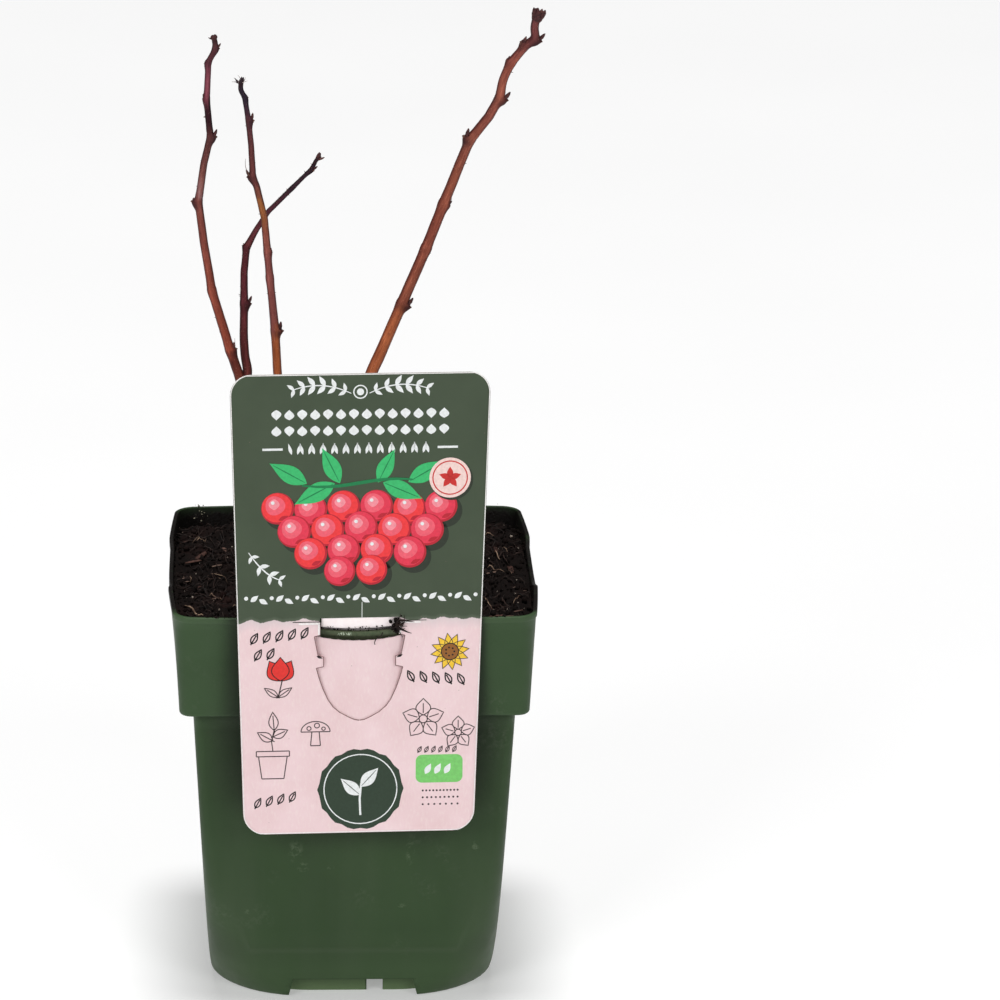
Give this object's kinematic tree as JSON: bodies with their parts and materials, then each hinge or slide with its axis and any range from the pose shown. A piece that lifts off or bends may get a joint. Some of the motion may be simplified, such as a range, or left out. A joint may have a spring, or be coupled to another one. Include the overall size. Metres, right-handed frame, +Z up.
{
  "type": "raspberry cane in a pot",
  "caption": "Bare raspberry canes in a square plastic nursery pot of potting soil, with a hanging plant label hooked over the rim.",
  "frame": {"origin": "centre of the whole, on the ground that the pot stands on", "axes": "+Z up, -Y towards the front, where the label hangs, +X to the right of someone who faces the label"},
  "size_m": [0.1516, 0.1574, 0.3959],
  "materials": {
    "pot_plastic": "satin dark green moulded plastic",
    "soil": "dull, moist, fibrous",
    "label_card": "satin printed card",
    "bark": "smooth satin orange-brown to plum bark",
    "dark_bark": "smooth satin dark brown bark"
  },
  "bodies": {
    "root": {"pot": "pot_plastic", "potting_soil": "soil", "label": "label_card", "cane_left": "bark", "cane_middle": "bark", "cane_right": "bark", "side_cane_lower": "dark_bark", "side_cane_upper": "dark_bark"}
  },
  "joints": []
}
